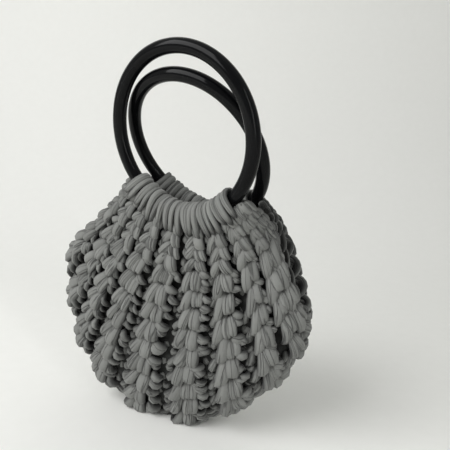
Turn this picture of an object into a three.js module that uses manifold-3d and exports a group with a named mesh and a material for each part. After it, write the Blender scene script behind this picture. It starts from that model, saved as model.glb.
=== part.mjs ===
// Ring handle bag: two ribbed panels crocheted from thick T-shirt yarn, each worked
// onto a round black handle ring and joined along a scalloped, shell-shaped edge.
// Millimetres. +X is the bag's right seen from the front, -Y its front, +Z up.
import * as THREE from "three";
import { mergeVertices } from "three/addons/utils/BufferGeometryUtils.js";
import Module from "manifold-3d";

const wasm = await Module();
wasm.setup();

// Handle rings
const ringOuterDiameter = 150;
const ringThickness = 12;
const ringSides = 12;
const ringSteps = 48;

// Each ring's lowest point from the middle of the body, its forward lean and turn, and how
// far round the ring the stitches reach to the left and to the right of its lowest point
const frontRing = { x: 27, y: -34, z: 90, lean: 14, turn: -10, left: 54, right: 44 };
const backRing = { x: 32, y: 16, z: 89, lean: 33, turn: -14, left: 60, right: 46 };

// The first row of stitches, worked closely over the ring
const wrapThickness = 5;
const wrapSides = 14;
const wrapSteps = 20;

// Crocheted body
const bodyWidth = 266;
const bodyHeight = 234;
const bodyDepth = 80;
const bodySideTurn = 98;
const fabricAtRib = 21;
const grooveDepth = 11;
const scallopDepth = 9;
const fabricAtWrap = 15;
const wrapOverlap = 3;
const bellyRoundness = 3.4;
const bellyStart = 0.49;
const backSideBend = -0.15;
const footPress = 8;

// Clearances
const ringPlay = 0.3;
const seamGap = 0.3;
const wrapClearancePast = 20;
const mergeDistance = 1e-4;

// One row for each rib, from the bag's left to its right. ring and edge: its place along the
// wrap and the outer edge, as shares of their angle to that side. reach: share of the body's
// radius at its end. bend: share of its length that it runs straight out first. belly: share
// of the body's half depth that it swells to.
const ribs = [
  { ring: -0.96, edge: -1.06, reach: 1.01, bend: 0.3, belly: 0.7 },
  { ring: -0.81, edge: -0.8, reach: 0.97, bend: 0.3, belly: 0.84 },
  { ring: -0.64, edge: -0.58, reach: 0.99, bend: 0.3, belly: 0.95 },
  { ring: -0.44, edge: -0.37, reach: 1.04, bend: 0.27, belly: 1 },
  { ring: -0.2, edge: -0.14, reach: 1.09, bend: 0.23, belly: 1 },
  { ring: 0.12, edge: 0.1, reach: 1.07, bend: 0.25, belly: 1 },
  { ring: 0.45, edge: 0.36, reach: 0.99, bend: 0.26, belly: 1 },
  { ring: 0.74, edge: 0.63, reach: 0.98, bend: 0.26, belly: 0.95 },
  { ring: 0.93, edge: 0.81, reach: 1.02, bend: 0.24, belly: 0.84 },
  { ring: 1.02, edge: 0.93, reach: 1.02, bend: 0.2, belly: 0.7 },
];

// Where each rib has points across it, as shares of its width, and the rows of points from
// the ring to the seam
const ribSamples = [0, 0.1, 0.28, 0.5, 0.72, 0.9];
const panelRows = 12;

const ringRadius = (ringOuterDiameter - ringThickness) / 2;
const wrapRadius = ringThickness / 2 + ringPlay + wrapThickness;
const radians = THREE.MathUtils.degToRad;

// The ring's own frame: its middle, the directions along its plane and through it, and the
// angles that the stitches span.
function ringFrame({ x, y, z, lean, turn, left, right }) {
  const turned = new THREE.Euler(radians(lean), 0, radians(turn), "ZXY");
  const across = new THREE.Vector3(1, 0, 0).applyEuler(turned);
  const through = new THREE.Vector3(0, 1, 0).applyEuler(turned);
  const up = new THREE.Vector3(0, 0, 1).applyEuler(turned);
  const middle = new THREE.Vector3(x, y, z).addScaledVector(up, ringRadius);
  return { turned, middle, across, through, up, left, right };
}

// A point at an angle from the ring's lowest point, out from its middle and through its plane.
function ringPoint(frame, angle, out, back) {
  return frame.middle
    .clone()
    .addScaledVector(frame.across, out * Math.sin(angle))
    .addScaledVector(frame.up, -out * Math.cos(angle))
    .addScaledVector(frame.through, back);
}

// A closed solid between two grids of points, the outer and the inner face of a wall.
function wallGeometry(outer, inner, closedAcross) {
  const rows = outer.length;
  const columns = outer[0].length;
  const points = [...outer.flat(), ...inner.flat()];
  const at = (layer, row, column) =>
    layer * rows * columns + row * columns + (column % columns);
  const index = [];
  const quad = (a, b, c, d) => index.push(a, b, c, a, c, d);
  const spans = closedAcross ? columns : columns - 1;
  for (let row = 0; row < rows - 1; row++)
    for (let column = 0; column < spans; column++) {
      const next = column + 1;
      quad(at(0, row, column), at(0, row + 1, column), at(0, row + 1, next), at(0, row, next));
      quad(at(1, row, column), at(1, row, next), at(1, row + 1, next), at(1, row + 1, column));
    }
  for (let column = 0; column < spans; column++) {
    const next = column + 1;
    const last = rows - 1;
    quad(at(0, 0, column), at(0, 0, next), at(1, 0, next), at(1, 0, column));
    quad(at(0, last, column), at(1, last, column), at(1, last, next), at(0, last, next));
  }
  if (!closedAcross)
    for (let row = 0; row < rows - 1; row++) {
      const last = columns - 1;
      quad(at(0, row, 0), at(1, row, 0), at(1, row + 1, 0), at(0, row + 1, 0));
      quad(at(0, row, last), at(0, row + 1, last), at(1, row + 1, last), at(1, row, last));
    }
  const geometry = new THREE.BufferGeometry();
  geometry.setFromPoints(points);
  geometry.setIndex(index);
  return geometry;
}

// A solid of a closed geometry that has positions only.
function solidOf(geometry) {
  const merged = mergeVertices(geometry, mergeDistance);
  const mesh = new wasm.Mesh({
    numProp: 3,
    vertProperties: merged.attributes.position.array,
    triVerts: new Uint32Array(merged.index.array),
  });
  return new wasm.Manifold(mesh);
}

// A geometry of a solid's vertices and triangles.
function geometryOf(solid) {
  const mesh = solid.getMesh();
  const geometry = new THREE.BufferGeometry();
  geometry.setAttribute("position", new THREE.BufferAttribute(mesh.vertProperties, 3));
  geometry.setIndex(new THREE.BufferAttribute(mesh.triVerts, 1));
  geometry.computeVertexNormals();
  return geometry;
}

// Loops of points round the ring along its stitched stretch and some way past its ends.
function sleeveLoops(frame, radius, past) {
  const loops = [];
  for (let step = 0; step <= wrapSteps; step++) {
    const share = step / wrapSteps;
    const angle = radians(THREE.MathUtils.lerp(-frame.left - past, frame.right + past, share));
    const loop = [];
    for (let side = 0; side < wrapSides; side++) {
      const round = (-2 * Math.PI * side) / wrapSides;
      const out = ringRadius + radius * Math.cos(round);
      loop.push(ringPoint(frame, angle, out, radius * Math.sin(round)));
    }
    loops.push(loop);
  }
  return loops;
}

// The sleeve of stitches round the ring, with a bore that the ring lies in.
function wrapGeometry(frame) {
  const boreRadius = (ringThickness / 2 + ringPlay) / Math.cos(Math.PI / wrapSides);
  const outer = sleeveLoops(frame, wrapRadius, 0);
  const inner = sleeveLoops(frame, boreRadius, 0);
  return wallGeometry(outer, inner, true);
}

// The space that a panel leaves free around its ring and the stitches on it.
function wrapClearance(frame) {
  const radius = (wrapRadius + ringPlay) / Math.cos(Math.PI / wrapSides);
  const loops = sleeveLoops(frame, radius, wrapClearancePast);
  const middles = loops.map((loop) => {
    const sum = new THREE.Vector3();
    loop.forEach((point) => sum.add(point));
    return sum.divideScalar(loop.length);
  });
  const index = [];
  const columns = wrapSides;
  const capMiddle = loops.length * columns;
  for (let row = 0; row < loops.length - 1; row++)
    for (let side = 0; side < columns; side++) {
      const next = (side + 1) % columns;
      const [a, b] = [row * columns + side, row * columns + next];
      const [c, d] = [a + columns, b + columns];
      index.push(a, c, d, a, d, b);
    }
  for (let side = 0; side < columns; side++) {
    const next = (side + 1) % columns;
    const end = (loops.length - 1) * columns;
    index.push(capMiddle, side, next, capMiddle + 1, end + next, end + side);
  }
  const geometry = new THREE.BufferGeometry();
  geometry.setFromPoints([...loops.flat(), middles[0], middles.at(-1)]);
  geometry.setIndex(index);
  return geometry;
}

// Values of the rib table at any place across the fan, smooth from rib to rib.
function fanAt(place) {
  const last = ribs.length - 1;
  const from = THREE.MathUtils.clamp(Math.floor(place - 0.5), 0, last - 1);
  const share = place - 0.5 - from;
  const row = {};
  for (const name of Object.keys(ribs[0]))
    row[name] = THREE.MathUtils.lerp(ribs[from][name], ribs[from + 1][name], share);
  return row;
}

// How far a place lies from a crest: none along the crest, all of it in the groove.
function grooveShape(place) {
  return Math.abs(2 * (place - Math.floor(place)) - 1) ** 3;
}

// A point of a panel, from its ring to the seam, on its outer or its inner face.
function panelPoint(frame, side, place, along, outer) {
  const { ring, edge, reach, bend, belly } = fanAt(place);
  const angle = radians(ring < 0 ? frame.left : frame.right) * ring;
  const start = ringPoint(frame, angle, ringRadius + wrapRadius - wrapOverlap, 0);
  const end = radians(bodySideTurn) * edge;
  const groove = grooveShape(place);
  const inset = outer ? scallopDepth * groove : fabricAtRib;
  const endX = ((bodyWidth / 2) * reach - inset) * Math.sin(end);
  const endZ = -((bodyHeight / 2) * reach - inset) * Math.cos(end);
  const length = Math.hypot(endX - start.x, endZ - start.z);
  const straight = bend + (side > 0 ? backSideBend * Math.abs(ring) : 0);
  const bendX = start.x + straight * length * Math.sin(angle);
  const bendZ = start.z - straight * length * Math.cos(angle);
  const rest = 1 - along;
  const x = rest ** 2 * start.x + 2 * along * rest * bendX + along ** 2 * endX;
  const z = rest ** 2 * start.z + 2 * along * rest * bendZ + along ** 2 * endZ;
  const atWrap = start.y + ((outer ? side : -side) * fabricAtWrap) / 2;
  const fabric = outer ? grooveDepth * groove : fabricAtRib;
  const atBelly = side * ((bodyDepth / 2) * belly - fabric);
  const flare = THREE.MathUtils.smoothstep(along, 0, bellyStart);
  const swell = (1 - along ** bellyRoundness) ** (1 / bellyRoundness);
  const y = THREE.MathUtils.lerp(atWrap, atBelly, flare) * swell;
  return new THREE.Vector3(x, y + (side * seamGap) / 2, z);
}

// The outer or the inner face of a panel, a row of points for each step from the ring.
function panelFace(frame, side, outer) {
  const places = ribs.flatMap((_, rib) => ribSamples.map((sample) => rib + sample));
  places.push(ribs.length);
  const rows = [];
  for (let row = 0; row <= panelRows; row++) {
    const along = Math.sin(((Math.PI / 2) * row) / panelRows);
    rows.push(places.map((place) => panelPoint(frame, side, place, along, outer)));
  }
  return rows;
}

// The ribs that the bag stands on are pressed flat by its weight.
function pressFoot(face) {
  const points = face.flat();
  const floor = Math.min(...points.map((point) => point.z)) + footPress;
  for (const point of points) point.z = Math.max(point.z, floor);
}

// A whole panel: the wall between its two faces, cut clear of the wrapped ring.
function panelGeometry(frame, side) {
  const outer = panelFace(frame, side, true);
  const inner = panelFace(frame, side, false);
  pressFoot(outer);
  const wall = side < 0 ? wallGeometry(outer, inner, false) : wallGeometry(inner, outer, false);
  return geometryOf(solidOf(wall).subtract(solidOf(wrapClearance(frame))));
}

// A handle ring that lies across its own frame, as the stitches see it.
function ringGeometry() {
  const ring = new THREE.TorusGeometry(ringRadius, ringThickness / 2, ringSides, ringSteps);
  return ring.rotateX(Math.PI / 2);
}

// Grey cotton T-shirt yarn and black polished resin
const yarn = new THREE.MeshStandardMaterial({ color: 0x6e706d, roughness: 0.9, metalness: 0 });
const resin = new THREE.MeshStandardMaterial({ color: 0x101113, roughness: 0.25, metalness: 0 });

// A sub-part under its own name, with a material of its own.
function named(name, geometry, material) {
  const mesh = new THREE.Mesh(geometry, material.clone());
  mesh.name = name;
  return mesh;
}

const bag = new THREE.Group();
for (const [label, placing, side] of [
  ["front", frontRing, -1],
  ["back", backRing, 1],
]) {
  const frame = ringFrame(placing);
  const ring = named(label + "_handle_ring", ringGeometry(), resin);
  ring.position.copy(frame.middle);
  ring.rotation.copy(frame.turned);
  bag.add(ring);
  bag.add(named(label + "_ring_wrap", wrapGeometry(frame), yarn));
  bag.add(named(label + "_panel", panelGeometry(frame, side), yarn));
}

// The bag stands on its foot with its outer box centred over the origin.
const box = new THREE.Box3().setFromObject(bag, true);
const centre = box.getCenter(new THREE.Vector3());
bag.position.set(-centre.x, -centre.y, -box.min.z);

export default bag;
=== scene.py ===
import functools
import math
import random
from typing import NamedTuple

import bmesh
import bpy
from mathutils import Euler, Matrix, Vector, noise


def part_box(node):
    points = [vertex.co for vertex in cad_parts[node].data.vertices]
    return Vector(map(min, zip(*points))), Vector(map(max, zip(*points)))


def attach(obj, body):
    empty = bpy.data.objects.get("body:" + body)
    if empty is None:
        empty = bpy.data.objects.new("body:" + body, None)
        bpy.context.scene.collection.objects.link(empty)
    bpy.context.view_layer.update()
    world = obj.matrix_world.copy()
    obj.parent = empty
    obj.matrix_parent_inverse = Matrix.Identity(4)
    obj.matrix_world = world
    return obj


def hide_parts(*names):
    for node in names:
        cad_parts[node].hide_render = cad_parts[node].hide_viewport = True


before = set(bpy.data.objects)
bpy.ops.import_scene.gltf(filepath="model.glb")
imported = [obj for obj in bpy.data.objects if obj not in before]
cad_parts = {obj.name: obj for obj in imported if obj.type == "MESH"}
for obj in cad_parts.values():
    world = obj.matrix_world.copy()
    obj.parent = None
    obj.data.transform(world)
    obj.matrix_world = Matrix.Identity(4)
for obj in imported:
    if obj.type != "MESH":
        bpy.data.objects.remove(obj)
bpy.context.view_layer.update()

# Handle rings
# Each handle is one round ring cast in glossy black resin, polished smooth, with the faint
# hairline scratches and finger marks of use. Only the yarn worked over it holds it in place.
MM = 0.001
RING_RADIUS = 69 * MM
RING_THICKNESS = 12 * MM
RING_STEPS = 128
TUBE_SIDES = 28
MERGE_DISTANCE = 0.001 * MM
RESIN_CLEAN = (0.002, 0.0021, 0.0024)
RESIN_MARKED = (0.005, 0.0052, 0.0058)


class Handle:
    """A handle ring's place: its middle, its own directions and the angles that are stitched."""

    def __init__(self, node, lean, turn, left, right):
        low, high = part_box(node)
        self.middle = (low + high) / 2
        turned = Euler((math.radians(lean), 0, 0)).to_matrix()
        turned = Matrix.Rotation(math.radians(turn), 3, "Z") @ turned
        self.across, self.through, self.up = (turned @ Vector(v) for v in Matrix.Identity(3))
        self.turned = turned
        self.left = math.radians(left)
        self.right = math.radians(right)

    def point(self, angle, out, back=0):
        """A point at an angle from the ring's lowest place, out from its middle and behind it."""
        return (
            self.middle
            + self.across * (out * math.sin(angle))
            - self.up * (out * math.cos(angle))
            + self.through * back
        )


front_handle = Handle("front_handle_ring", lean=14, turn=-10, left=54, right=44)
back_handle = Handle("back_handle_ring", lean=33, turn=-14, left=60, right=46)


def smooth_object(name, bm, material):
    """Makes a smoothly shaded object of a bmesh."""
    mesh = bpy.data.meshes.new(name)
    bm.to_mesh(mesh)
    bm.free()
    for polygon in mesh.polygons:
        polygon.use_smooth = True
    mesh.materials.append(material)
    made = bpy.data.objects.new(name, mesh)
    bpy.context.scene.collection.objects.link(made)
    return made


def finish_piece(name, bm, material, node):
    """Makes a piece of the bag of a bmesh, in place of a node of the part."""
    piece = smooth_object(name, bm, material)
    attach(piece, "root")
    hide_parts(node)


def set_values(node, **values):
    """Sets a shader node's sockets, whose names have a capital, and its own settings."""
    for name, value in values.items():
        if name[0].isupper():
            node.inputs[name.replace("_", " ")].default_value = value
        else:
            setattr(node, name, value)
    return node


def new_node(tree, kind, **values):
    return set_values(tree.nodes.new("ShaderNode" + kind), **values)


def new_material(name, **values):
    """A material with its node tree and its shader, which gets the values."""
    material = bpy.data.materials.new(name)
    material.use_nodes = True
    tree = material.node_tree
    return material, tree, set_values(tree.nodes["Principled BSDF"], **values)


def colour_ramp(tree, first, last, last_at=1.0):
    ramp = new_node(tree, "ValToRGB")
    ramp.color_ramp.elements[0].color = (*first, 1)
    ramp.color_ramp.elements[1].color = (*last, 1)
    ramp.color_ramp.elements[1].position = last_at
    return ramp


def link(source, output, target, socket):
    source.id_data.links.new(source.outputs[output], target.inputs[socket])


def resin_material():
    material, tree, shader = new_material("black_resin", Specular_IOR_Level=0.11)
    place = new_node(tree, "TexCoord")
    stretched = new_node(tree, "Mapping", Scale=(1.0, 1.0, 6.0))
    scratches = new_node(tree, "TexNoise", Scale=220.0, Detail=4.0, Distortion=1.5)
    bump = new_node(tree, "Bump", Strength=0.06, Distance=0.0003)
    link(place, "Object", stretched, "Vector")
    link(stretched, "Vector", scratches, "Vector")
    link(scratches, "Fac", bump, "Height")
    link(bump, "Normal", shader, "Normal")
    marks = new_node(tree, "TexNoise", Scale=35.0, Detail=3.0)
    gloss = new_node(tree, "MapRange", From_Min=0.35, From_Max=0.7, To_Min=0.06, To_Max=0.16)
    colours = colour_ramp(tree, RESIN_CLEAN, RESIN_MARKED)
    link(place, "Object", marks, "Vector")
    link(marks, "Fac", gloss, "Value")
    link(marks, "Fac", colours, "Fac")
    link(gloss, "Result", shader, "Roughness")
    link(colours, "Color", shader, "Base Color")
    return material


black_resin = resin_material()

for label, handle in (("front", front_handle), ("back", back_handle)):
    bm = bmesh.new()
    section = Matrix.Translation((0, 0, RING_RADIUS)) @ Matrix.Rotation(math.pi / 2, 4, "Y")
    bmesh.ops.create_circle(bm, segments=TUBE_SIDES, radius=RING_THICKNESS / 2, matrix=section)
    bmesh.ops.spin(
        bm,
        geom=bm.verts[:] + bm.edges[:],
        cent=(0, 0, 0),
        axis=(0, 1, 0),
        angle=2 * math.pi,
        steps=RING_STEPS,
        use_merge=True,
    )
    bmesh.ops.remove_doubles(bm, verts=bm.verts, dist=MERGE_DISTANCE)
    bmesh.ops.recalc_face_normals(bm, faces=bm.faces)
    standing = Matrix.Translation(handle.middle) @ handle.turned.to_4x4()
    bmesh.ops.transform(bm, matrix=standing, verts=bm.verts)
    finish_piece(label + "_ring", bm, black_resin, label + "_handle_ring")


# Ring wraps
# The first row is worked over the ring itself, in thick cotton jersey yarn that has rolled itself
# into a soft round cord. Each stitch is a band of it that comes up from behind, over the ring and
# down in front to a rounded tip, pressed close to its neighbours.
WRAP_SPACING = 6.2 * MM
BAND_HALF_WIDTH = 3.5 * MM
BAND_WIDTHS = (0.78, 1.16)
BAND_FLAT = 0.8
BAND_ENDS = 0.3
BAND_GRID = (8, 18)
# Points of a band round the ring's tube: away from the ring's middle, and towards the bag's
# outside, in mm from the tube's middle.
BAND = (
    (17, -1), (12, -6), (6, -8.5), (0, -8.8), (-6, -6.4), (-8.7, 0),
    (-6, 6.4), (0, 8.8), (6.5, 9.4), (13, 9), (19, 7),
)
TAIL_START = 7  # in mm, from where out a band is longer or shorter than its points say
TAIL_LENGTHS = (0.8, 0.95, 1.05, 1.12)
TAIL_VARIATION = (0.96, 1.04)
TAIL_CENTRE = 9  # in mm, from where out the middle that a band faces away from moves on with it
BAND_TURN = 0.012
BAND_LEAN = 0.05
BAND_LEAN_AT = 20  # in mm, how far out a band has the whole of its lean
WRAP_SEED = 31

FOOT_CLEARANCE = 0.4 * MM
DIRECTION_REACH = 0.04  # share of a strand, to either side, that a place's direction is read from
LUMPS_ROUND = 3
LUMP_SIZE_ROUND = 0.06
LUMPS_ALONG = 5  # in radians of a wave
LUMP_SIZE_ALONG = 0.05
TINT_SHIFT = 40  # how far the tint, from 0 to 1, shifts a strand's lumps and folds
FOLD_SHIFT = Vector((3, 7, 5))
FOLD_LENGTH = 20  # in mm along a strand, for one step of the folds' pattern
# A strand's colour has painted shade: it is dark below, where it lies against the fabric, and at
# its ends, which dive between its neighbours. The shade starts at this height of its section and
# rises over this much of it.
SHADE_START = -0.45
SHADE_RISE = 1.2
SHADED_END = 0.2  # share of a strand
# The yarn's own colour on its folds, and darker with painted shade in their creases.
YARN_CREASE_SHADE = (0.092, 0.0937, 0.0897)
YARN_FOLD = (0.192, 0.1955, 0.1868)


def blend(a, b, share):
    return a + (b - a) * share


def smooth(share):
    share = min(max(share, 0.0), 1.0)
    return share * share * (3 - 2 * share)


def above_floor(point, clearance):
    point.z = max(point.z, clearance)
    return point


def spline(points, share):
    """A smooth curve through the points, at a share of its whole run."""
    spans = len(points) - 1
    span = min(int(share * spans), spans - 1)
    local = share * spans - span
    p1, p2 = points[span], points[span + 1]
    p0 = points[span - 1] if span else p1 * 2 - p2
    p3 = points[span + 2] if span + 2 <= spans else p2 * 2 - p1
    return (
        p1 * 2
        + (p2 - p0) * local
        + (p0 * 2 - p1 * 5 + p2 * 4 - p3) * local**2
        + (p1 * 3 - p0 - p2 * 3 + p3) * local**3
    ) / 2


@functools.cache
def plain_sphere(around, levels):
    """A sphere that strands start from, with its values for the yarn's material: "tint" holds the
    strand's tint and its painted shade, "lie" the place round and along it."""
    bm = bmesh.new()
    bm.verts.layers.float_color.new("tint")
    bm.verts.layers.float_vector.new("lie")
    bmesh.ops.create_uvsphere(bm, u_segments=around, v_segments=levels, radius=1)
    mesh = bpy.data.meshes.new("strand")
    bm.to_mesh(mesh)
    bm.free()
    return mesh


def lay_yarn(bm, points, outward, plump, flat, ends, grid, tint):
    """Stretches a sphere along the points into one length of yarn, flatter outward than across."""
    levels = grid[1]
    first = len(bm.verts)
    bm.from_mesh(plain_sphere(*grid))
    bm.verts.ensure_lookup_table()
    tint_and_shade_layer = bm.verts.layers.float_color["tint"]
    lie_layer = bm.verts.layers.float_vector["lie"]
    shift = tint * TINT_SHIFT
    run_length = (points[-1] - points[0]).length / MM
    frames = []
    for level in range(levels + 1):
        share = level / levels
        before = spline(points, max(share - DIRECTION_REACH, 0))
        after = spline(points, min(share + DIRECTION_REACH, 1))
        run = (after - before).normalized()
        wide = run.cross(spline(outward, share)).normalized()
        frames.append((spline(points, share), wide, wide.cross(run).normalized()))
    for vert in bm.verts[first:]:
        level = round(math.acos(min(max(vert.co.z, -1), 1)) / math.pi * levels)
        share = level / levels
        middle, wide, out = frames[level]
        turn = math.atan2(vert.co.y, vert.co.x)
        girth = plump * math.sin(share * math.pi) ** ends if 0 < level < levels else 0
        girth *= (
            1
            + LUMP_SIZE_ROUND * math.sin(LUMPS_ROUND * turn + shift)
            + LUMP_SIZE_ALONG * math.sin(LUMPS_ALONG * share + shift)
        )
        offset = wide * (girth * math.cos(turn)) + out * (girth * flat * math.sin(turn))
        vert.co = above_floor(middle + offset, FOOT_CLEARANCE)
        # Painted shade: the colour is darkened on the strand's underside and at its ends.
        painted_shade = smooth((math.sin(turn) - SHADE_START) / SHADE_RISE)
        painted_shade *= smooth(min(share, 1 - share) / SHADED_END)
        vert[tint_and_shade_layer] = (tint, painted_shade, 0, 1)
        lie = Vector((math.cos(turn), math.sin(turn), share * run_length / FOLD_LENGTH))
        vert[lie_layer] = lie + FOLD_SHIFT * shift


def yarn_material():
    """Jersey yarn: long folds along each strand, with painted shade in their creases, and a fine
    knit.
    """
    material, tree, shader = new_material(
        "jersey_yarn",
        Roughness=0.85,
        Specular_IOR_Level=0.25,
        Sheen_Weight=0.12,
        Sheen_Roughness=0.5,
    )
    # A crease runs wherever the folds' noise passes its middle value; there the colour is darkened
    # with painted shade.
    lie = new_node(tree, "Attribute", attribute_name="lie")
    folds_place = new_node(tree, "Mapping", Scale=(1.0, 1.0, 0.5))
    folds = new_node(tree, "TexNoise", Scale=1.0, Detail=1.5, Roughness=0.5, Distortion=0.3)
    from_crease = new_node(tree, "Math", operation="SUBTRACT")
    from_crease.inputs[1].default_value = 0.5
    beside = new_node(tree, "Math", operation="ABSOLUTE")
    fold = new_node(tree, "MapRange", interpolation_type="SMOOTHSTEP", From_Max=0.035)
    colours = colour_ramp(tree, YARN_CREASE_SHADE, YARN_FOLD)
    link(lie, "Vector", folds_place, "Vector")
    link(folds_place, "Vector", folds, "Vector")
    link(folds, "Fac", from_crease, 0)
    link(from_crease, "Value", beside, 0)
    link(beside, "Value", fold, "Value")
    link(fold, "Result", colours, "Fac")

    # Each strand has its own tint, and its painted shade, which darkens its colour below and at its
    # ends.
    tint = new_node(tree, "Attribute", attribute_name="tint")
    strand = new_node(tree, "SeparateColor")
    value = new_node(tree, "MapRange", To_Min=0.9, To_Max=1.1)
    painted_shade = new_node(tree, "MapRange", To_Min=0.1, To_Max=1.0)
    brightness = new_node(tree, "Math", operation="MULTIPLY")
    vary = new_node(tree, "HueSaturation")
    link(tint, "Color", strand, "Color")
    link(strand, "Red", value, "Value")
    link(strand, "Green", painted_shade, "Value")
    link(value, "Result", brightness, 0)
    link(painted_shade, "Result", brightness, 1)
    link(brightness, "Value", vary, "Value")
    link(colours, "Color", vary, "Color")
    link(vary, "Color", shader, "Base Color")

    # The relief is knit, fine wrinkles and the folds, one over the other.
    place = new_node(tree, "TexCoord")
    knit = new_node(tree, "TexNoise", Scale=900.0, Detail=2.0)
    knit_bump = new_node(tree, "Bump", Strength=0.3, Distance=0.0005)
    fine_place = new_node(tree, "Mapping", Scale=(5.0, 5.0, 2.2))
    fine = new_node(tree, "TexNoise", Scale=1.0, Detail=2.0)
    fine_bump = new_node(tree, "Bump", Strength=0.5, Distance=0.001)
    fold_bump = new_node(tree, "Bump", Strength=0.8, Distance=0.0012)
    link(place, "Object", knit, "Vector")
    link(lie, "Vector", fine_place, "Vector")
    link(fine_place, "Vector", fine, "Vector")
    link(knit, "Fac", knit_bump, "Height")
    link(fine, "Fac", fine_bump, "Height")
    link(fold, "Result", fold_bump, "Height")
    link(knit_bump, "Normal", fine_bump, "Normal")
    link(fine_bump, "Normal", fold_bump, "Normal")
    link(fold_bump, "Normal", shader, "Normal")
    return material


jersey_yarn = yarn_material()

for label, side, handle in (("front", -1, front_handle), ("back", 1, back_handle)):
    dice = random.Random(WRAP_SEED + side)
    bm = bmesh.new()
    bands = round((handle.left + handle.right) * RING_RADIUS / WRAP_SPACING)
    for band in range(bands):
        angle = blend(-handle.left, handle.right, (band + 0.5) / bands)
        angle += dice.uniform(-BAND_TURN, BAND_TURN)
        lean = dice.uniform(-BAND_LEAN, BAND_LEAN)
        tail = dice.choice(TAIL_LENGTHS) * dice.uniform(*TAIL_VARIATION)
        points = []
        outward = []
        for out, forward in BAND:
            leaned = angle + lean * out / BAND_LEAN_AT
            away = out * (tail if out > TAIL_START else 1)
            spot = handle.point(leaned, RING_RADIUS + away * MM, side * forward * MM)
            behind = handle.point(leaned, RING_RADIUS + max(out - TAIL_CENTRE, 0) * MM)
            points.append(spot)
            outward.append((spot - behind).normalized())
        half_width = BAND_HALF_WIDTH * dice.uniform(*BAND_WIDTHS)
        tint = dice.random()
        lay_yarn(bm, points, outward, half_width, BAND_FLAT, BAND_ENDS, BAND_GRID, tint)
    finish_piece(label + "_wrap_yarn", bm, jersey_yarn, label + "_ring_wrap")


# Panel grounds
# Each panel is a fan of ribs that run from a handle ring to the outer seam. Under its raised loops
# it is one thick layer of knotted yarn: a shell along the form of the CAD solid, lumpy with the
# knots. Its colour is painted shade: far darker than the yarn above it, and darkest between the
# knots.
WRAP_RADIUS = 11.3 * MM
WRAP_OVERLAP = 3 * MM
BODY_WIDTH = 266 * MM
BODY_HEIGHT = 234 * MM
BODY_DEPTH = 80 * MM
RING_FROM_BODY = Vector((27, -34, 90)) * MM  # the front ring's lowest place, from the body's middle
SIDE_TURN = math.radians(98)
FABRIC = 21 * MM
FABRIC_AT_WRAP = 15 * MM
BELLY_ROUNDNESS = 3.4
BELLY_START = 0.49
BACK_SIDE_BEND = -0.15  # added to the bend of the back panel's outer ribs
SEAM_GAP = 0.3 * MM
# One row for the middle of each rib. ring: its place on the ring, as a share of the angle that is
# stitched on its side. edge: its place on the seam, as a share of SIDE_TURN. reach: how far out the
# seam lies, as a share of the body's half width and half height. bend: how much of its run goes
# straight out from the ring. belly: its depth, as a share of the body's half depth.
RIBS = (
    dict(ring=-0.96, edge=-1.06, reach=1.01, bend=0.30, belly=0.70),
    dict(ring=-0.81, edge=-0.80, reach=0.97, bend=0.30, belly=0.84),
    dict(ring=-0.64, edge=-0.58, reach=0.99, bend=0.30, belly=0.95),
    dict(ring=-0.44, edge=-0.37, reach=1.04, bend=0.27, belly=1.00),
    dict(ring=-0.20, edge=-0.14, reach=1.09, bend=0.23, belly=1.00),
    dict(ring=0.12, edge=0.10, reach=1.07, bend=0.25, belly=1.00),
    dict(ring=0.45, edge=0.36, reach=0.99, bend=0.26, belly=1.00),
    dict(ring=0.74, edge=0.63, reach=0.98, bend=0.26, belly=0.95),
    dict(ring=0.93, edge=0.81, reach=1.02, bend=0.24, belly=0.84),
    dict(ring=1.02, edge=0.93, reach=1.02, bend=0.20, belly=0.70),
)
GROUND_HEIGHT = 8 * MM
GROUND_CLEARANCE = 1 * MM
GROUND_ACROSS = 60
GROUND_ALONG = 30
KNOT_HEIGHT = 1.6 * MM
KNOT_SIZE = 9 * MM
# Painted shade: the ground is coloured far darker than the yarn above it, and darker still between
# the knots.
KNOT_SHADED_COLOUR = (0.050, 0.051, 0.049)
GAP_SHADE_COLOUR = (0.020, 0.0204, 0.0196)

body_middle = front_handle.point(0, RING_RADIUS) - RING_FROM_BODY


def rib_values(place):
    """The rib table's values at any place across the fan, straight between its rows."""
    first = min(max(math.floor(place - 0.5), 0), len(RIBS) - 2)
    share = place - 0.5 - first
    row, next_row = RIBS[first], RIBS[first + 1]
    return {name: blend(value, next_row[name], share) for name, value in row.items()}


def panel_point(side, place, along, height):
    """A point of a panel: place across the fan, along it from ring to seam, height over its inner
    face. Past the seam it runs on over the other panel."""
    if along > 1:
        side, along = -side, 2 - along
    along = max(along, 0)
    handle = front_handle if side < 0 else back_handle
    rib = rib_values(place)
    angle = rib["ring"] * (handle.left if rib["ring"] < 0 else handle.right)
    start = handle.point(angle, RING_RADIUS + WRAP_RADIUS - WRAP_OVERLAP) - body_middle
    depth = FABRIC - height
    end_angle = SIDE_TURN * rib["edge"]
    end_x = (BODY_WIDTH / 2 * rib["reach"] - depth) * math.sin(end_angle)
    end_z = -(BODY_HEIGHT / 2 * rib["reach"] - depth) * math.cos(end_angle)
    straight = rib["bend"] + (BACK_SIDE_BEND * abs(rib["ring"]) if side > 0 else 0)
    straight *= math.hypot(end_x - start.x, end_z - start.z)
    bend_x = start.x + straight * math.sin(angle)
    bend_z = start.z - straight * math.cos(angle)
    rest = 1 - along
    x = rest**2 * start.x + 2 * along * rest * bend_x + along**2 * end_x
    z = rest**2 * start.z + 2 * along * rest * bend_z + along**2 * end_z
    at_wrap = start.y + side * FABRIC_AT_WRAP * (height / FABRIC - 0.5)
    at_belly = side * (BODY_DEPTH / 2 * rib["belly"] - depth)
    swell = max(1 - along**BELLY_ROUNDNESS, 0) ** (1 / BELLY_ROUNDNESS)
    y = blend(at_wrap, at_belly, smooth(along / BELLY_START)) * swell + side * SEAM_GAP / 2
    return body_middle + Vector((x, y, z))


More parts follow.
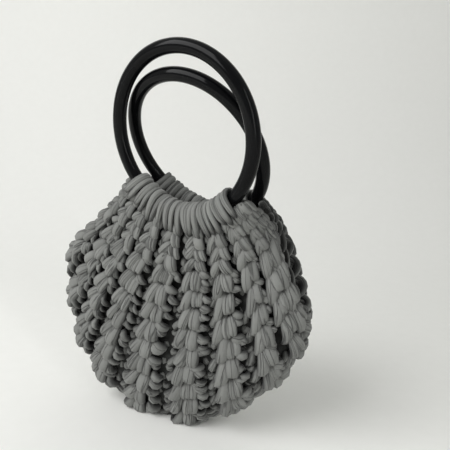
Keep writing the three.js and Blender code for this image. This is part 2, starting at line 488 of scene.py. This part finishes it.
def ground_material():
    material, tree, shader = new_material("yarn_ground", Roughness=0.95, Specular_IOR_Level=0.2)
    place = new_node(tree, "TexCoord")
    knots = new_node(tree, "TexVoronoi", Scale=120.0)
    # Painted shade, darkest between the knots.
    colours = colour_ramp(tree, KNOT_SHADED_COLOUR, GAP_SHADE_COLOUR, last_at=0.6)
    bump = new_node(tree, "Bump", invert=True, Strength=0.8, Distance=0.002)
    link(place, "Object", knots, "Vector")
    link(knots, "Distance", colours, "Fac")
    link(knots, "Distance", bump, "Height")
    link(colours, "Color", shader, "Base Color")
    link(bump, "Normal", shader, "Normal")
    return material


yarn_ground = ground_material()

for label, side in (("front", -1), ("back", 1)):
    bm = bmesh.new()
    bmesh.ops.create_grid(bm, x_segments=GROUND_ACROSS, y_segments=GROUND_ALONG, size=1)
    outer = bmesh.ops.extrude_face_region(bm, geom=bm.faces[:])["geom"]
    for vert in (item for item in outer if isinstance(item, bmesh.types.BMVert)):
        vert.co.z = 1
    for vert in bm.verts:
        outside = vert.co.z
        place = (vert.co.x + 1) / 2 * len(RIBS)
        along = math.sin((vert.co.y + 1) / 2 * math.pi / 2)
        height = GROUND_HEIGHT * outside
        knot = noise.noise(panel_point(side, place, along, height) / KNOT_SIZE) * KNOT_HEIGHT
        point = panel_point(side, place, along, height + knot * outside)
        vert.co = above_floor(point, GROUND_CLEARANCE)
    bmesh.ops.recalc_face_normals(bm, faces=bm.faces)
    finish_piece(label + "_panel_ground", bm, yarn_ground, label + "_panel")


# Rib stitches
# Each rib is a column of post stitches in the same jersey yarn. Every loop that shows is one
# length of it, plump where it lies free and drawn thin where it dives into the fabric. The first
# rows by the ring are tight plaits.
ROW_HEIGHT = 19.5 * MM
PLAIT_ROWS = 4
PLAIT_ROW_SHARE = 0.57
PLAIT_WIDTH = 17 * MM  # the rib's width where a plait's loops have their full size
STITCH_WIDTH = 40 * MM  # and where a full stitch's have
SEAM_ROLL = 9 * MM  # how far the front panel's last row curls under, over the seam
LEAST_SCALE = 0.86
MOST_SCALE = 1.1
NARROW_SPREAD = 2.2  # how much wider stitches would spread over a rib that narrows to nothing
STRAND_GIRTH = {1: 1.0, 2: 0.64, 3: 0.5}  # by the number of strands that a loop is split into
STRAND_SPACING = 2.1  # over all strands, against the half width of the loop they are split from
GATHERED_ENDS = 0.55  # how far apart a loop's strands are at its ends, against 1 at its middle
# How much the loops vary, as shares of half a rib across and of a row down.
PLUMPNESS = (0.88, 1.1)
ROW_DRIFT = 0.06
JOG_ACROSS = 0.05
JOG_DOWN = 0.08
JOG_HEIGHT = (-0.9, 0.7)  # in mm
LOOP_LEAN = 0.12
STRAND_SLIP = 0.03
BAR_JOG = 0.04  # share of a whole rib
RIB_SEED_STEP = 7
SIDE_SEED_STEP = 100
HEIGHT_STEP = 3 * MM  # between the two points that give the fabric's outward direction


class Loop(NamedTuple):
    """One loop of a stitch. path: points of (place across the rib from its crest, as a share of
    half the rib; place down the row, as a share of its height; height over the panel's inner face
    in mm). plump: half width in mm where the rib has its full width. flat: thickness over width.
    ends: how blunt the ends are, from 1 for pointed to 0.3 for round. strands: how many strands
    the cord may be split into. grid: faces round and along. least_width: the rib's width in mm
    from which the loop shows. stray: how much more than the others it varies."""

    path: tuple
    plump: float
    flat: float = 0.85
    ends: float = 0.42
    strands: tuple = (1,)
    grid: tuple = (8, 6)
    least_width: float = 0
    stray: float = 1


# A plait of a thin and a fat leg, with a knot beside it and a bar on the inner face.
PLAIT = (
    Loop(
        path=(
            (0.22, -0.40, 9), (0.00, -0.04, 15), (-0.32, 0.42, 17),
            (-0.60, 0.90, 14), (-0.74, 1.20, 8),
        ),
        plump=4.0, flat=0.85, ends=0.4, grid=(8, 8),
    ),
    Loop(
        path=(
            (0.10, -0.24, 7), (0.26, 0.02, 14), (0.42, 0.46, 17.5),
            (0.54, 0.86, 16.5), (0.56, 1.04, 11),
        ),
        plump=4.9, flat=0.82, ends=0.34, strands=(1, 1, 1, 2), grid=(8, 8),
    ),
    Loop(
        path=((0.86, 0.16, 5), (1.02, 0.32, 10.5), (1.10, 0.62, 10), (1.06, 0.92, 4)),
        plump=3.4, flat=0.95, ends=0.45, grid=(6, 6),
    ),
    Loop(
        path=((-0.80, 0.50, 2), (-0.30, 0.42, 0), (0.30, 0.48, 0), (0.85, 0.56, 2)),
        plump=3.4, flat=0.7, ends=0.5, grid=(6, 6),
    ),
)
# Down the crest of a full stitch lie a long leaf and, beside it, a round lobe.
CREST = (
    Loop(
        path=(
            (0.02, -0.26, 5), (-0.12, 0.00, 13.5), (-0.25, 0.34, 17.5),
            (-0.37, 0.72, 17), (-0.46, 1.08, 12), (-0.49, 1.32, 5),
        ),
        plump=5.8, flat=0.74, ends=0.44, grid=(8, 9),
    ),
    Loop(
        path=(
            (0.17, 0.03, 6), (0.19, 0.13, 14), (0.21, 0.42, 17.2),
            (0.22, 0.74, 17.5), (0.20, 0.95, 12.5),
        ),
        plump=6.5, flat=0.72, ends=0.32, strands=(1, 1, 1, 2, 1, 3), grid=(8, 8),
    ),
)
# The flank on the lobe's side has an upper and a lower bump, and a small one deep in the groove.
LOBE_FLANK = (
    Loop(
        path=((0.34, -0.08, 10), (0.50, 0.00, 15), (0.68, 0.18, 13.5), (0.84, 0.44, 6)),
        plump=4.8, flat=0.88, ends=0.38, strands=(1, 1, 1, 2), stray=2.0,
    ),
    Loop(
        path=((0.38, 0.36, 9), (0.53, 0.48, 14.5), (0.68, 0.68, 12.5), (0.80, 0.94, 5)),
        plump=4.7, flat=0.88, ends=0.38, strands=(1, 1, 1, 2), stray=2.4,
    ),
    Loop(
        path=((0.76, 0.24, 1), (0.87, 0.32, 6), (0.90, 0.52, 5.5), (0.82, 0.70, 0)),
        plump=3.5, flat=0.95, grid=(6, 6), least_width=34,
    ),
)
# The flank on the leaf's side has a bump, a bar under it and a post deep in the groove.
LEAF_FLANK = (
    Loop(
        path=((-0.50, -0.10, 6), (-0.68, 0.06, 9.5), (-0.82, 0.30, 8.5), (-0.92, 0.58, 3)),
        plump=4.0, flat=0.95, ends=0.38, grid=(6, 6), least_width=30,
    ),
    Loop(
        path=((-0.98, 0.66, 2), (-0.90, 0.74, 6.5), (-0.78, 0.74, 8), (-0.62, 0.64, 7)),
        plump=3.5, flat=0.95, grid=(6, 6), least_width=32,
    ),
    Loop(
        path=((-1.00, 0.02, -2), (-1.04, 0.26, 2), (-0.98, 0.60, 2), (-1.04, 0.92, -2)),
        plump=3.6, flat=0.9, grid=(6, 6), least_width=30,
    ),
)
# Two bars cross the inner face.
INNER_FACE = (
    Loop(
        path=((-0.80, 0.36, 2), (-0.30, 0.28, 0), (0.25, 0.34, 0), (0.75, 0.42, 2)),
        plump=3.8, flat=0.7, ends=0.5, grid=(6, 6),
    ),
    Loop(
        path=((-1.10, 0.86, 1), (-0.55, 0.80, 0), (0.0, 0.84, 0), (0.45, 0.90, 2)),
        plump=3.8, flat=0.7, ends=0.5, grid=(6, 6),
    ),
)
STITCH = CREST + LOBE_FLANK + LEAF_FLANK + INNER_FACE
# The free side of a panel is bound by long loops that run down its edge, one outside the other.
BINDING = (
    Loop(
        path=(
            (0.88, -0.30, 4), (1.02, 0.05, 8), (1.08, 0.50, 8.5),
            (1.04, 0.95, 6.5), (0.92, 1.20, 2),
        ),
        plump=4.6, flat=0.9, strands=(1, 2), grid=(8, 8),
    ),
    Loop(
        path=((0.86, -0.10, -3), (1.02, 0.20, 0.5), (1.04, 0.65, 0.5), (0.88, 1.00, -3)),
        plump=4.4, flat=0.9,
    ),
)
# Short bars close the grooves where the panels are joined. Here a path's points are (place beside
# the groove, as a share of a rib; distance before the seam in mm; height in mm).
SEAM_BARS = (
    Loop(path=((-0.26, 15, 5), (-0.05, 14, 9.5), (0.12, 14, 9.5), (0.26, 15, 5)), plump=3.8),
    Loop(path=((-0.28, 8, 7), (-0.06, 7, 12), (0.14, 7, 11.5), (0.28, 9, 7)), plump=4.3),
    Loop(path=((-0.28, 1, 9), (-0.08, 0, 14), (0.10, 0, 14), (0.28, 1, 9)), plump=4.5),
    Loop(path=((-0.28, -6, 8), (-0.08, -7, 12.5), (0.10, -7, 12.5), (0.28, -6, 8)), plump=4.4),
)


class Rib:
    """One rib of a panel: its rows from ring to seam, and points and loops laid along it."""

    STEPS = 60

    def __init__(self, side, rib, bm):
        self.side = side
        self.rib = rib
        self.bm = bm
        self.dice = random.Random(rib * RIB_SEED_STEP + (side + 1) * SIDE_SEED_STEP)
        self.alongs = [math.sin(math.pi / 2 * step / self.STEPS) for step in range(self.STEPS + 1)]
        spots = [panel_point(side, rib + 0.5, along, FABRIC) for along in self.alongs]
        self.lengths = [0.0]
        for a, b in zip(spots, spots[1:]):
            self.lengths.append(self.lengths[-1] + (b - a).length)
        self.length = self.lengths[-1]
        stitched = self.length - side * SEAM_ROLL
        rows = round(stitched / ROW_HEIGHT + PLAIT_ROWS * (1 - PLAIT_ROW_SHARE))
        sizes = [PLAIT_ROW_SHARE if row < PLAIT_ROWS else 1 for row in range(rows)]
        self.edges = [stitched * sum(sizes[:row]) / sum(sizes) for row in range(rows + 1)]

    def along(self, length):
        """Place along the panel at a length from the ring, past the seam as far as before it."""
        if length > self.length:
            return 2 - self.along(2 * self.length - length)
        step = next((i for i, reached in enumerate(self.lengths) if reached >= length), self.STEPS)
        if step == 0:
            return 0.0
        span = self.lengths[step] - self.lengths[step - 1]
        share = (self.lengths[step] - length) / span
        return blend(self.alongs[step], self.alongs[step - 1], share)

    def down(self, row, share):
        """Length from the ring at a share of a row's height, which may run on into the next."""
        base = min(max(row + math.floor(share), 0), len(self.edges) - 2)
        height = self.edges[base + 1] - self.edges[base]
        return self.edges[base] + height * (row + share - base)

    def width(self, along):
        left = panel_point(self.side, self.rib, along, FABRIC)
        return (panel_point(self.side, self.rib + 1, along, FABRIC) - left).length

    def lay(self, spots, loop, plump):
        """Lays one strand over spots of (place across the fan, length from the ring, height)."""
        points = []
        outward = []
        for place, length, height in spots:
            along = self.along(length)
            low = panel_point(self.side, place, along, height)
            high = panel_point(self.side, place, along, height + HEIGHT_STEP)
            points.append(low)
            outward.append((high - low).normalized())
        tint = self.dice.random()
        lay_yarn(self.bm, points, outward, plump, loop.flat, loop.ends, loop.grid, tint)

    def stitch(self, row, loops, full_width, mirror):
        """Lays every loop of one row. A mirror of -1 swaps the rib's two flanks."""
        dice = self.dice
        width = self.width(min(self.along(self.down(row, 0.5)), 1.0))
        scale = min(max(width / full_width, LEAST_SCALE), MOST_SCALE)
        spread = 1.0 if row < PLAIT_ROWS else blend(NARROW_SPREAD, 1.0, min(scale, 1.0))
        drift = dice.uniform(-ROW_DRIFT, ROW_DRIFT)
        for loop in loops:
            if width < loop.least_width * MM:
                continue
            count = dice.choice(loop.strands)
            plump = loop.plump * scale * dice.uniform(*PLUMPNESS) * MM
            jog_across = drift + dice.uniform(-JOG_ACROSS, JOG_ACROSS) * loop.stray
            jog_down = dice.uniform(-JOG_DOWN, JOG_DOWN) * loop.stray
            jog = Vector((jog_across, jog_down, dice.uniform(*JOG_HEIGHT)))
            lean = dice.uniform(-LOOP_LEAN, LOOP_LEAN) * loop.stray
            for strand in range(count):
                apart = plump * STRAND_SPACING / count / (width / 2)
                aside = (strand - (count - 1) / 2) * apart
                slip = dice.uniform(-STRAND_SLIP, STRAND_SLIP) if count > 1 else 0
                spots = []
                for index, spot in enumerate(loop.path):
                    across, down, height = Vector(spot) + jog
                    run = index / (len(loop.path) - 1)
                    gather = blend(GATHERED_ENDS, 1, math.sin(math.pi * run))
                    beside = across * spread + aside * gather + lean * (down - 0.5)
                    place = self.rib + 0.5 + mirror * beside / 2
                    spots.append((place, self.down(row, down + slip), height * MM))
                self.lay(spots, loop, plump * STRAND_GIRTH[count])

    def close_groove(self):
        """Closes the groove beside the rib with bars near the seam."""
        for bar in SEAM_BARS:
            groove = self.rib + 1 + self.dice.uniform(-BAR_JOG, BAR_JOG)
            spots = [
                (groove + beside, self.length - before * MM, height * MM)
                for beside, before, height in bar.path
            ]
            self.lay(spots, bar, bar.plump * MM)


for label, side in (("front", -1), ("back", 1)):
    for rib in range(len(RIBS)):
        bm = bmesh.new()
        column = Rib(side, rib, bm)
        for row in range(len(column.edges) - 1):
            if row < PLAIT_ROWS:
                column.stitch(row, PLAIT, PLAIT_WIDTH, mirror=-side)
            else:
                column.stitch(row, STITCH, STITCH_WIDTH, mirror=-side)
            if rib == 0:
                column.stitch(row, BINDING, STITCH_WIDTH, mirror=-1)
            if rib == len(RIBS) - 1:
                column.stitch(row, BINDING, STITCH_WIDTH, mirror=1)
        if rib < len(RIBS) - 1:
            column.close_groove()
        name = "%s_rib_%02d" % (label, rib + 1)
        finish_piece(name, bm, jersey_yarn, label + "_panel")


# Camera
# A phone held in front of the bag, to its right and a little above, tipped slightly. Its place
# and lens were worked out from the outlines of both rings.
CAMERA_PLACE = Vector((0.20535, -0.36454, 0.25138))
CAMERA_AZIMUTH = math.radians(22.67)
CAMERA_DIP = math.radians(7.5)
CAMERA_ROLL = math.radians(3.5)
SENSOR_WIDTH = 36.0
LENS = 36.08

camera_data = bpy.data.cameras.new("camera")
camera_data.sensor_width = SENSOR_WIDTH
camera_data.lens = LENS
camera = bpy.data.objects.new("camera", camera_data)
aim = Euler((math.pi / 2 - CAMERA_DIP, 0, CAMERA_AZIMUTH)).to_matrix()
aim = aim @ Matrix.Rotation(CAMERA_ROLL, 3, "Z")
camera.matrix_world = Matrix.Translation(CAMERA_PLACE) @ aim.to_4x4()
bpy.context.scene.collection.objects.link(camera)
bpy.context.scene.camera = camera
bpy.context.scene.view_settings.view_transform = "Standard"


# Floor and backdrop
# A plain pale studio sweep of matt paper: the floor runs level behind the bag and curves up
# into the wall.
SWEEP_WIDTH = 5.0
SWEEP_NEAR = -2.4
SWEEP_FAR = 0.5
SWEEP_CURVE = 0.7
SWEEP_TOP = 2.6
SWEEP_STEPS = 48
PAPER_DULL = (0.845, 0.845, 0.82)
PAPER_PALE = (0.875, 0.875, 0.85)


def paper_material():
    material, tree, shader = new_material("pale_paper", Roughness=0.9)
    place = new_node(tree, "TexCoord")
    grain = new_node(tree, "TexNoise", Scale=60.0, Detail=3.0)
    colours = colour_ramp(tree, PAPER_DULL, PAPER_PALE)
    link(place, "Object", grain, "Vector")
    link(grain, "Fac", colours, "Fac")
    link(colours, "Color", shader, "Base Color")
    return material


def sweep_point(share):
    """Depth and height of the sweep at a share of its run: floor, curve, wall."""
    floor_run = SWEEP_FAR - SWEEP_NEAR
    curve_run = SWEEP_CURVE * math.pi / 2
    wall_run = SWEEP_TOP - SWEEP_CURVE
    run = share * (floor_run + curve_run + wall_run)
    if run < floor_run:
        return SWEEP_NEAR + run, 0.0
    if run < floor_run + curve_run:
        turn = (run - floor_run) / SWEEP_CURVE
        return SWEEP_FAR + SWEEP_CURVE * math.sin(turn), SWEEP_CURVE * (1 - math.cos(turn))
    return SWEEP_FAR + SWEEP_CURVE, SWEEP_CURVE + run - floor_run - curve_run


bm = bmesh.new()
bmesh.ops.create_grid(bm, x_segments=1, y_segments=SWEEP_STEPS, size=1)
for vert in bm.verts:
    depth, height = sweep_point((vert.co.y + 1) / 2)
    vert.co = Vector((vert.co.x * SWEEP_WIDTH / 2, depth, height))
facing = Matrix.Rotation(CAMERA_AZIMUTH, 3, "Z")
bmesh.ops.rotate(bm, cent=(0, 0, 0), matrix=facing, verts=bm.verts)
smooth_object("sweep", bm, paper_material())


# Light
# Soft daylight from a large window at the front left and above, with pale walls all round. A
# narrow strip of light at the front right draws a streak along each ring.
BAG_MIDDLE = Vector((0, 0, 0.16))
WINDOW_PLACE = Vector((-0.75, -1.15, 1.15))
WINDOW_SIZE = (1.3, 1.3)
WINDOW_POWER = 26
STRIP_PLACE = Vector((1.25, -0.82, 0.5))
STRIP_SIZE = (0.03, 1.3)
STRIP_POWER = 5
TOWARDS_CAMERA = (0.38, -0.91, -0.1)
ROOM_COLOUR = (0.80, 0.81, 0.79, 1)


def area_light(name, place, size, power):
    """A rectangle of light that faces the bag."""
    data = bpy.data.lights.new(name, "AREA")
    data.shape = "RECTANGLE"
    data.size, data.size_y = size
    data.energy = power
    light = bpy.data.objects.new(name, data)
    light.location = place
    light.rotation_euler = (BAG_MIDDLE - place).to_track_quat("-Z", "Y").to_euler()
    bpy.context.scene.collection.objects.link(light)


area_light("window", WINDOW_PLACE, WINDOW_SIZE, WINDOW_POWER)
area_light("strip", STRIP_PLACE, STRIP_SIZE, STRIP_POWER)

# The room is darkest on the camera's side, where its walls are farthest.
world = bpy.data.worlds.new("room")
bpy.context.scene.world = world
world.use_nodes = True
tree = world.node_tree
room = set_values(tree.nodes["Background"], Color=ROOM_COLOUR)
direction = new_node(tree, "TexCoord")
facing_camera = new_node(tree, "VectorMath", operation="DOT_PRODUCT")
facing_camera.inputs[1].default_value = TOWARDS_CAMERA
glow = new_node(tree, "MapRange", From_Min=0.2, From_Max=0.95, To_Min=0.62, To_Max=0.36)
link(direction, "Generated", facing_camera, 0)
link(facing_camera, "Value", glow, "Value")
link(glow, "Result", room, "Strength")
